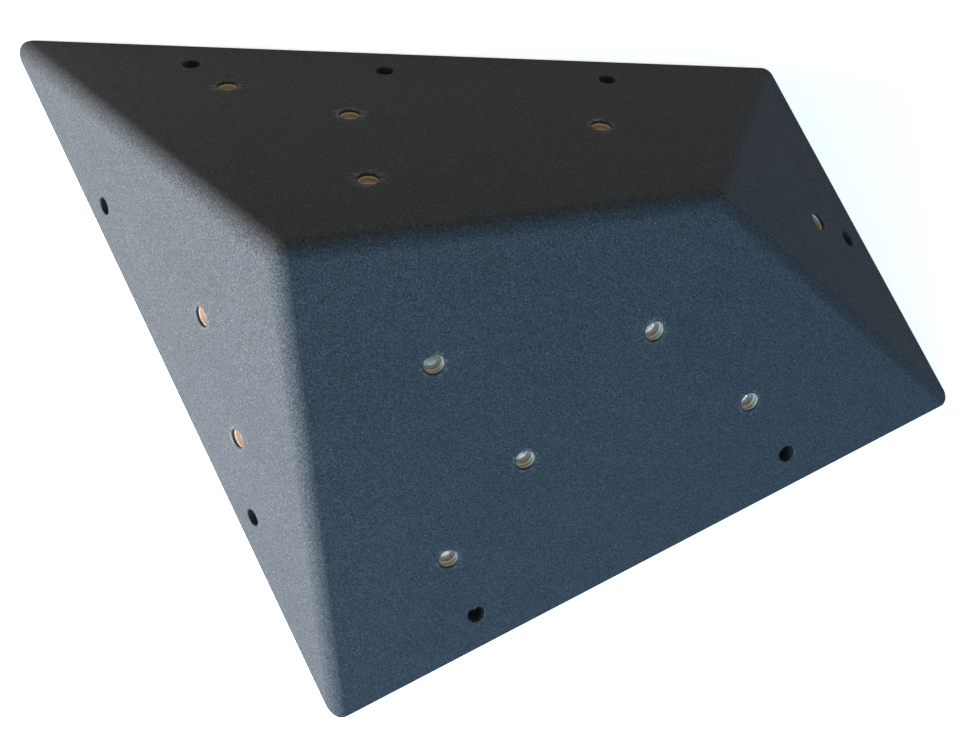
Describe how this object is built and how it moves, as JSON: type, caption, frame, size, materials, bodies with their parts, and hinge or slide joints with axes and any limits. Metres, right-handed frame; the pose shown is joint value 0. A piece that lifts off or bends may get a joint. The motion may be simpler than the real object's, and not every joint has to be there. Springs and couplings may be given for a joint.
{
  "type": "climbing volume",
  "caption": "Four-faced plywood wedge for a climbing wall, grit coated, hollow and open at the back, with threaded inserts for holds and screw holes round its base.",
  "frame": {"origin": "middle of the base's bounding rectangle, on the wall plane", "axes": "+Z out of the wall, +Y up the wall in the picture, +X to the right in the picture; the long base side is at -X and the lower base edge at -Y"},
  "size_m": [0.4392, 0.4733, 0.1539],
  "materials": {
    "grit_coat": "black sand-grit paint, rough and matt, with small pale wear marks",
    "birch_ply": "birch plywood, sanded, unvarnished, stripes of plies on every cut edge",
    "cleat_ply": "birch plywood strip, sawn",
    "softwood": "planed pine batten, unvarnished",
    "zinc_steel": "bright zinc-plated pressed steel"
  },
  "bodies": {
    "root": {"left_panel": "birch_ply", "upper_panel": "birch_ply", "right_panel": "birch_ply", "front_panel": "birch_ply", "grip_coating": "grit_coat", "left_cleat": "cleat_ply", "upper_cleat": "cleat_ply", "right_cleat": "cleat_ply", "front_cleat": "cleat_ply", "upper_left_block": "softwood", "front_left_block": "softwood", "summit_block": "softwood", "upper_right_block": "softwood", "front_right_block": "softwood", "left_t_nut_1": "zinc_steel", "left_t_nut_2": "zinc_steel", "upper_t_nut_1": "zinc_steel", "upper_t_nut_2": "zinc_steel", "upper_t_nut_3": "zinc_steel", "upper_t_nut_4": "zinc_steel", "right_t_nut": "zinc_steel", "front_t_nut_1": "zinc_steel", "front_t_nut_2": "zinc_steel", "front_t_nut_3": "zinc_steel", "front_t_nut_4": "zinc_steel", "front_t_nut_5": "zinc_steel"}
  },
  "joints": []
}
